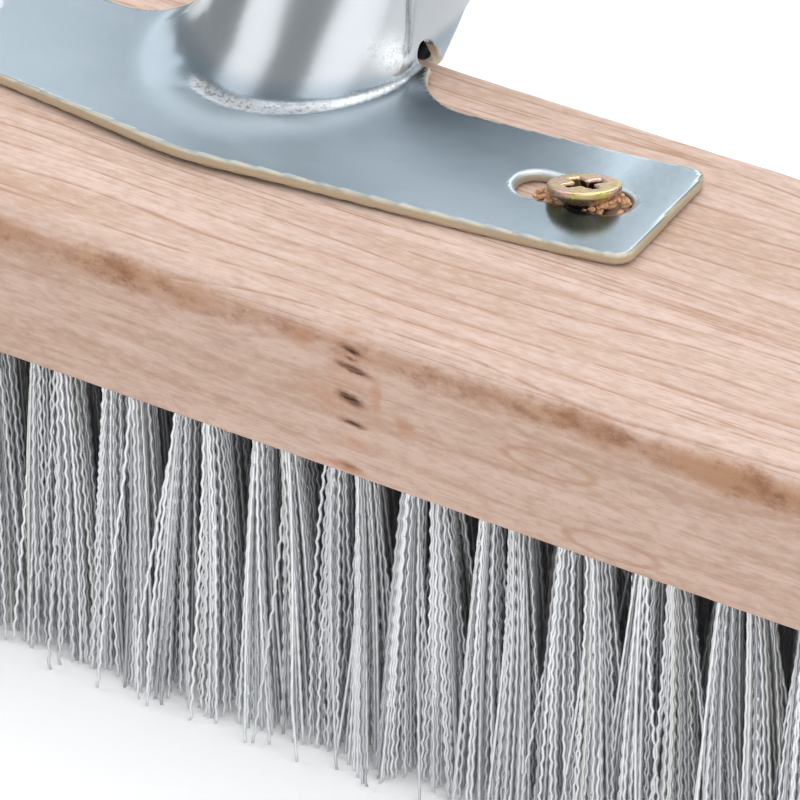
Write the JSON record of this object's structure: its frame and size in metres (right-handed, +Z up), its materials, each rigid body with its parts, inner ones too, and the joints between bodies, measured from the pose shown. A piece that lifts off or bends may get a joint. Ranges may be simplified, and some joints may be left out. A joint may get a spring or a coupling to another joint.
{
  "type": "wire block brush head",
  "caption": "Brush head: a worn-edged wood block set with staggered rows of crimped steel wire tufts, under a screwed-on pressed-steel bracket whose slanted round socket takes a handle.",
  "frame": {"origin": "bottom centre of the whole head's box, so Z = 0 is the trimmed wire tips", "axes": "+X along the wood block, +Y to the side the handle socket leans to, +Z up"},
  "size_m": [0.3, 0.1118, 0.1212],
  "materials": {
    "beech_wood": "raw, fine straight grain",
    "zinc_plated_sheet": "bluish zinc plate, satin",
    "yellow_zinc": "yellow-passivated zinc, iridescent",
    "steel_wire": "bright crimped wire"
  },
  "bodies": {
    "root": {"wood_block": "beech_wood", "handle_bracket": "zinc_plated_sheet", "screw_left": "yellow_zinc", "screw_right": "yellow_zinc", "tufts_row1_clump1": "steel_wire", "tufts_row1_clump2": "steel_wire", "tufts_row1_clump3": "steel_wire", "tufts_row1_clump4": "steel_wire", "tufts_row1_clump5": "steel_wire", "tufts_row1_clump6": "steel_wire", "tufts_row1_clump7": "steel_wire", "tufts_row1_clump8": "steel_wire", "tufts_row1_clump9": "steel_wire", "tufts_row2_clump1": "steel_wire", "tufts_row2_clump2": "steel_wire", "tufts_row2_clump3": "steel_wire", "tufts_row2_clump4": "steel_wire", "tufts_row2_clump5": "steel_wire", "tufts_row2_clump6": "steel_wire", "tufts_row2_clump7": "steel_wire", "tufts_row2_clump8": "steel_wire", "tufts_row2_clump9": "steel_wire", "tufts_row3_clump1": "steel_wire", "tufts_row3_clump2": "steel_wire", "tufts_row3_clump3": "steel_wire", "tufts_row3_clump4": "steel_wire", "tufts_row3_clump5": "steel_wire", "tufts_row3_clump6": "steel_wire", "tufts_row3_clump7": "steel_wire", "tufts_row3_clump8": "steel_wire", "tufts_row3_clump9": "steel_wire", "tufts_row4_clump1": "steel_wire", "tufts_row4_clump2": "steel_wire", "tufts_row4_clump3": "steel_wire", "tufts_row4_clump4": "steel_wire", "tufts_row4_clump5": "steel_wire", "tufts_row4_clump6": "steel_wire", "tufts_row4_clump7": "steel_wire", "tufts_row4_clump8": "steel_wire", "tufts_row4_clump9": "steel_wire", "tufts_row5_clump1": "steel_wire", "tufts_row5_clump2": "steel_wire", "tufts_row5_clump3": "steel_wire", "tufts_row5_clump4": "steel_wire", "tufts_row5_clump5": "steel_wire", "tufts_row5_clump6": "steel_wire", "tufts_row5_clump7": "steel_wire", "tufts_row5_clump8": "steel_wire", "tufts_row5_clump9": "steel_wire"}
  },
  "joints": []
}
